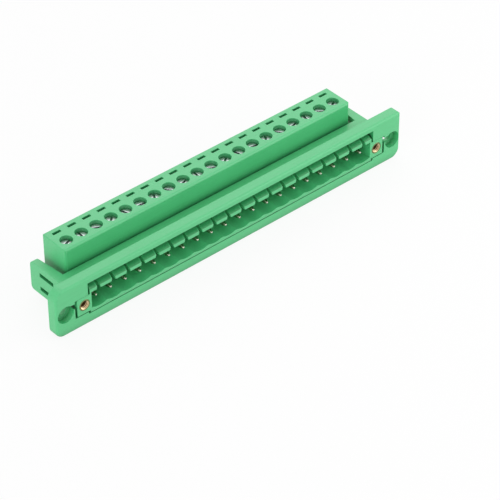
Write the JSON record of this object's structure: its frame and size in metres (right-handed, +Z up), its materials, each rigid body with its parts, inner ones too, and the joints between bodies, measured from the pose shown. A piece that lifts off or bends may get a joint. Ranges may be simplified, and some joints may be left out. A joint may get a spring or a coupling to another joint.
{
  "type": "feed-through terminal block",
  "caption": "Panel feed-through header: flanged plug socket with a row of pins in front, and rising-cage screw clamps for wires behind.",
  "frame": {"origin": "midway between the two panel screw holes, on the flange's back face that seats on the panel", "axes": "+X along the row of poles, +Y out of the panel seat to the wire side, +Z up to the screw heads"},
  "size_m": [0.1254, 0.02, 0.0187],
  "materials": {
    "green_plastic": "satin moulded",
    "brass_insert": "turned",
    "tinned_contact": "tin plated",
    "screw_steel": "zinc plated",
    "cage_steel": "zinc plated"
  },
  "bodies": {
    "housing": {"panel_frame": "green_plastic", "header_housing": "green_plastic", "terminal_housing": "green_plastic", "threaded_insert_left": "brass_insert", "threaded_insert_right": "brass_insert", "contact_pins": "tinned_contact"},
    "clamp_screw_01": {"clamp_screw_01": "screw_steel"},
    "clamp_screw_02": {"clamp_screw_02": "screw_steel"},
    "clamp_screw_03": {"clamp_screw_03": "screw_steel"},
    "clamp_screw_04": {"clamp_screw_04": "screw_steel"},
    "clamp_screw_05": {"clamp_screw_05": "screw_steel"},
    "clamp_screw_06": {"clamp_screw_06": "screw_steel"},
    "clamp_screw_07": {"clamp_screw_07": "screw_steel"},
    "clamp_screw_08": {"clamp_screw_08": "screw_steel"},
    "clamp_screw_09": {"clamp_screw_09": "screw_steel"},
    "clamp_screw_10": {"clamp_screw_10": "screw_steel"},
    "clamp_screw_11": {"clamp_screw_11": "screw_steel"},
    "clamp_screw_12": {"clamp_screw_12": "screw_steel"},
    "clamp_screw_13": {"clamp_screw_13": "screw_steel"},
    "clamp_screw_14": {"clamp_screw_14": "screw_steel"},
    "clamp_screw_15": {"clamp_screw_15": "screw_steel"},
    "clamp_screw_16": {"clamp_screw_16": "screw_steel"},
    "clamp_screw_17": {"clamp_screw_17": "screw_steel"},
    "clamp_screw_18": {"clamp_screw_18": "screw_steel"},
    "clamp_screw_19": {"clamp_screw_19": "screw_steel"},
    "clamp_screw_20": {"clamp_screw_20": "screw_steel"},
    "clamp_cage_01": {"clamp_cage_01": "cage_steel"},
    "clamp_cage_02": {"clamp_cage_02": "cage_steel"},
    "clamp_cage_03": {"clamp_cage_03": "cage_steel"},
    "clamp_cage_04": {"clamp_cage_04": "cage_steel"},
    "clamp_cage_05": {"clamp_cage_05": "cage_steel"},
    "clamp_cage_06": {"clamp_cage_06": "cage_steel"},
    "clamp_cage_07": {"clamp_cage_07": "cage_steel"},
    "clamp_cage_08": {"clamp_cage_08": "cage_steel"},
    "clamp_cage_09": {"clamp_cage_09": "cage_steel"},
    "clamp_cage_10": {"clamp_cage_10": "cage_steel"},
    "clamp_cage_11": {"clamp_cage_11": "cage_steel"},
    "clamp_cage_12": {"clamp_cage_12": "cage_steel"},
    "clamp_cage_13": {"clamp_cage_13": "cage_steel"},
    "clamp_cage_14": {"clamp_cage_14": "cage_steel"},
    "clamp_cage_15": {"clamp_cage_15": "cage_steel"},
    "clamp_cage_16": {"clamp_cage_16": "cage_steel"},
    "clamp_cage_17": {"clamp_cage_17": "cage_steel"},
    "clamp_cage_18": {"clamp_cage_18": "cage_steel"},
    "clamp_cage_19": {"clamp_cage_19": "cage_steel"},
    "clamp_cage_20": {"clamp_cage_20": "cage_steel"}
  },
  "joints": [
    {"name": "screw_turn_01", "type": "hinge", "parent": "housing", "child": "clamp_screw_01", "pos_m": [-0.04826, 0.01, 0], "axis": [0, 0, -1], "range_deg": [0, 1800]},
    {"name": "cage_rise_01", "type": "slide", "parent": "housing", "child": "clamp_cage_01", "axis": [0, 0, 1], "range_m": [0, 0.0025]},
    {"name": "screw_turn_02", "type": "hinge", "parent": "housing", "child": "clamp_screw_02", "pos_m": [-0.04318, 0.01, 0], "axis": [0, 0, -1], "range_deg": [0, 1800]},
    {"name": "cage_rise_02", "type": "slide", "parent": "housing", "child": "clamp_cage_02", "axis": [0, 0, 1], "range_m": [0, 0.0025]},
    {"name": "screw_turn_03", "type": "hinge", "parent": "housing", "child": "clamp_screw_03", "pos_m": [-0.0381, 0.01, 0], "axis": [0, 0, -1], "range_deg": [0, 1800]},
    {"name": "cage_rise_03", "type": "slide", "parent": "housing", "child": "clamp_cage_03", "axis": [0, 0, 1], "range_m": [0, 0.0025]},
    {"name": "screw_turn_04", "type": "hinge", "parent": "housing", "child": "clamp_screw_04", "pos_m": [-0.03302, 0.01, 0], "axis": [0, 0, -1], "range_deg": [0, 1800]},
    {"name": "cage_rise_04", "type": "slide", "parent": "housing", "child": "clamp_cage_04", "axis": [0, 0, 1], "range_m": [0, 0.0025]},
    {"name": "screw_turn_05", "type": "hinge", "parent": "housing", "child": "clamp_screw_05", "pos_m": [-0.02794, 0.01, 0], "axis": [0, 0, -1], "range_deg": [0, 1800]},
    {"name": "cage_rise_05", "type": "slide", "parent": "housing", "child": "clamp_cage_05", "axis": [0, 0, 1], "range_m": [0, 0.0025]},
    {"name": "screw_turn_06", "type": "hinge", "parent": "housing", "child": "clamp_screw_06", "pos_m": [-0.02286, 0.01, 0], "axis": [0, 0, -1], "range_deg": [0, 1800]},
    {"name": "cage_rise_06", "type": "slide", "parent": "housing", "child": "clamp_cage_06", "axis": [0, 0, 1], "range_m": [0, 0.0025]},
    {"name": "screw_turn_07", "type": "hinge", "parent": "housing", "child": "clamp_screw_07", "pos_m": [-0.01778, 0.01, 0], "axis": [0, 0, -1], "range_deg": [0, 1800]},
    {"name": "cage_rise_07", "type": "slide", "parent": "housing", "child": "clamp_cage_07", "axis": [0, 0, 1], "range_m": [0, 0.0025]},
    {"name": "screw_turn_08", "type": "hinge", "parent": "housing", "child": "clamp_screw_08", "pos_m": [-0.0127, 0.01, 0], "axis": [0, 0, -1], "range_deg": [0, 1800]},
    {"name": "cage_rise_08", "type": "slide", "parent": "housing", "child": "clamp_cage_08", "axis": [0, 0, 1], "range_m": [0, 0.0025]},
    {"name": "screw_turn_09", "type": "hinge", "parent": "housing", "child": "clamp_screw_09", "pos_m": [-0.00762, 0.01, 0], "axis": [0, 0, -1], "range_deg": [0, 1800]},
    {"name": "cage_rise_09", "type": "slide", "parent": "housing", "child": "clamp_cage_09", "axis": [0, 0, 1], "range_m": [0, 0.0025]},
    {"name": "screw_turn_10", "type": "hinge", "parent": "housing", "child": "clamp_screw_10", "pos_m": [-0.00254, 0.01, 0], "axis": [0, 0, -1], "range_deg": [0, 1800]},
    {"name": "cage_rise_10", "type": "slide", "parent": "housing", "child": "clamp_cage_10", "axis": [0, 0, 1], "range_m": [0, 0.0025]},
    {"name": "screw_turn_11", "type": "hinge", "parent": "housing", "child": "clamp_screw_11", "pos_m": [0.00254, 0.01, 0], "axis": [0, 0, -1], "range_deg": [0, 1800]},
    {"name": "cage_rise_11", "type": "slide", "parent": "housing", "child": "clamp_cage_11", "axis": [0, 0, 1], "range_m": [0, 0.0025]},
    {"name": "screw_turn_12", "type": "hinge", "parent": "housing", "child": "clamp_screw_12", "pos_m": [0.00762, 0.01, 0], "axis": [0, 0, -1], "range_deg": [0, 1800]},
    {"name": "cage_rise_12", "type": "slide", "parent": "housing", "child": "clamp_cage_12", "axis": [0, 0, 1], "range_m": [0, 0.0025]},
    {"name": "screw_turn_13", "type": "hinge", "parent": "housing", "child": "clamp_screw_13", "pos_m": [0.0127, 0.01, 0], "axis": [0, 0, -1], "range_deg": [0, 1800]},
    {"name": "cage_rise_13", "type": "slide", "parent": "housing", "child": "clamp_cage_13", "axis": [0, 0, 1], "range_m": [0, 0.0025]},
    {"name": "screw_turn_14", "type": "hinge", "parent": "housing", "child": "clamp_screw_14", "pos_m": [0.01778, 0.01, 0], "axis": [0, 0, -1], "range_deg": [0, 1800]},
    {"name": "cage_rise_14", "type": "slide", "parent": "housing", "child": "clamp_cage_14", "axis": [0, 0, 1], "range_m": [0, 0.0025]},
    {"name": "screw_turn_15", "type": "hinge", "parent": "housing", "child": "clamp_screw_15", "pos_m": [0.02286, 0.01, 0], "axis": [0, 0, -1], "range_deg": [0, 1800]},
    {"name": "cage_rise_15", "type": "slide", "parent": "housing", "child": "clamp_cage_15", "axis": [0, 0, 1], "range_m": [0, 0.0025]},
    {"name": "screw_turn_16", "type": "hinge", "parent": "housing", "child": "clamp_screw_16", "pos_m": [0.02794, 0.01, 0], "axis": [0, 0, -1], "range_deg": [0, 1800]},
    {"name": "cage_rise_16", "type": "slide", "parent": "housing", "child": "clamp_cage_16", "axis": [0, 0, 1], "range_m": [0, 0.0025]},
    {"name": "screw_turn_17", "type": "hinge", "parent": "housing", "child": "clamp_screw_17", "pos_m": [0.03302, 0.01, 0], "axis": [0, 0, -1], "range_deg": [0, 1800]},
    {"name": "cage_rise_17", "type": "slide", "parent": "housing", "child": "clamp_cage_17", "axis": [0, 0, 1], "range_m": [0, 0.0025]},
    {"name": "screw_turn_18", "type": "hinge", "parent": "housing", "child": "clamp_screw_18", "pos_m": [0.0381, 0.01, 0], "axis": [0, 0, -1], "range_deg": [0, 1800]},
    {"name": "cage_rise_18", "type": "slide", "parent": "housing", "child": "clamp_cage_18", "axis": [0, 0, 1], "range_m": [0, 0.0025]},
    {"name": "screw_turn_19", "type": "hinge", "parent": "housing", "child": "clamp_screw_19", "pos_m": [0.04318, 0.01, 0], "axis": [0, 0, -1], "range_deg": [0, 1800]},
    {"name": "cage_rise_19", "type": "slide", "parent": "housing", "child": "clamp_cage_19", "axis": [0, 0, 1], "range_m": [0, 0.0025]},
    {"name": "screw_turn_20", "type": "hinge", "parent": "housing", "child": "clamp_screw_20", "pos_m": [0.04826, 0.01, 0], "axis": [0, 0, -1], "range_deg": [0, 1800]},
    {"name": "cage_rise_20", "type": "slide", "parent": "housing", "child": "clamp_cage_20", "axis": [0, 0, 1], "range_m": [0, 0.0025]}
  ],
  "couplings": [
    {"joint": "screw_turn_01", "follows": "cage_rise_01", "rad_per_m": 12566},
    {"joint": "screw_turn_02", "follows": "cage_rise_02", "rad_per_m": 12566},
    {"joint": "screw_turn_03", "follows": "cage_rise_03", "rad_per_m": 12566},
    {"joint": "screw_turn_04", "follows": "cage_rise_04", "rad_per_m": 12566},
    {"joint": "screw_turn_05", "follows": "cage_rise_05", "rad_per_m": 12566},
    {"joint": "screw_turn_06", "follows": "cage_rise_06", "rad_per_m": 12566},
    {"joint": "screw_turn_07", "follows": "cage_rise_07", "rad_per_m": 12566},
    {"joint": "screw_turn_08", "follows": "cage_rise_08", "rad_per_m": 12566},
    {"joint": "screw_turn_09", "follows": "cage_rise_09", "rad_per_m": 12566},
    {"joint": "screw_turn_10", "follows": "cage_rise_10", "rad_per_m": 12566},
    {"joint": "screw_turn_11", "follows": "cage_rise_11", "rad_per_m": 12566},
    {"joint": "screw_turn_12", "follows": "cage_rise_12", "rad_per_m": 12566},
    {"joint": "screw_turn_13", "follows": "cage_rise_13", "rad_per_m": 12566},
    {"joint": "screw_turn_14", "follows": "cage_rise_14", "rad_per_m": 12566},
    {"joint": "screw_turn_15", "follows": "cage_rise_15", "rad_per_m": 12566},
    {"joint": "screw_turn_16", "follows": "cage_rise_16", "rad_per_m": 12566},
    {"joint": "screw_turn_17", "follows": "cage_rise_17", "rad_per_m": 12566},
    {"joint": "screw_turn_18", "follows": "cage_rise_18", "rad_per_m": 12566},
    {"joint": "screw_turn_19", "follows": "cage_rise_19", "rad_per_m": 12566},
    {"joint": "screw_turn_20", "follows": "cage_rise_20", "rad_per_m": 12566}
  ]
}
